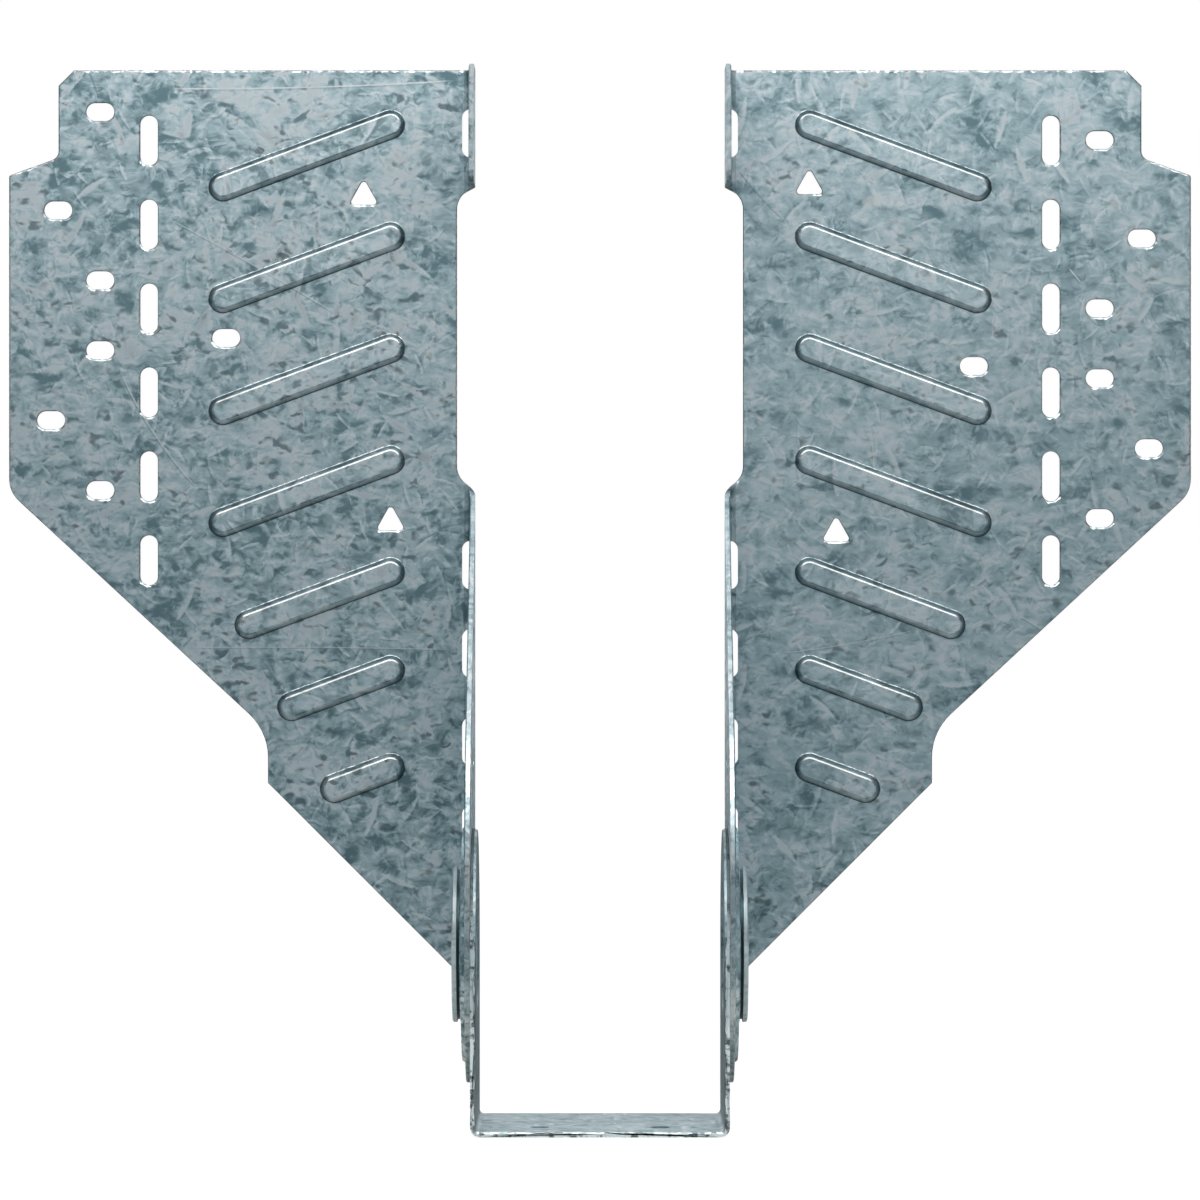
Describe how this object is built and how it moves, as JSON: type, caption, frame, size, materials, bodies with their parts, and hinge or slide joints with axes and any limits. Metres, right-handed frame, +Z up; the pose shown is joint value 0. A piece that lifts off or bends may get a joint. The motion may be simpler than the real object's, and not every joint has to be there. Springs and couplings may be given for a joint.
{
  "type": "rafter hanger",
  "caption": "Folded sheet-steel rafter hanger: ribbed, slotted face brackets that nail to a header, hinged to a U-shaped seat stirrup that tilts to the rafter's slope.",
  "frame": {"origin": "centre of the stirrup floor's upper face, where the rafter sits, straight under the hinge axis", "axes": "+Z up from the seat, +Y towards the header, +X across the rafter"},
  "size_m": [0.299, 0.0773, 0.264],
  "materials": {
    "galvanised_steel": "hot-dip galvanised, spangled"
  },
  "bodies": {
    "seat": {"seat_stirrup": "galvanised_steel"},
    "left_side": {"left_bracket": "galvanised_steel"},
    "right_side": {"right_bracket": "galvanised_steel"}
  },
  "joints": [
    {"name": "left_hinge", "type": "hinge", "parent": "seat", "child": "left_side", "pos_m": [-0.0321, 0, 0.0439], "axis": [1, 0, 0], "range_deg": [-45, 45]},
    {"name": "right_hinge", "type": "hinge", "parent": "seat", "child": "right_side", "pos_m": [0.0321, 0, 0.0439], "axis": [1, 0, 0], "range_deg": [-45, 45]}
  ]
}
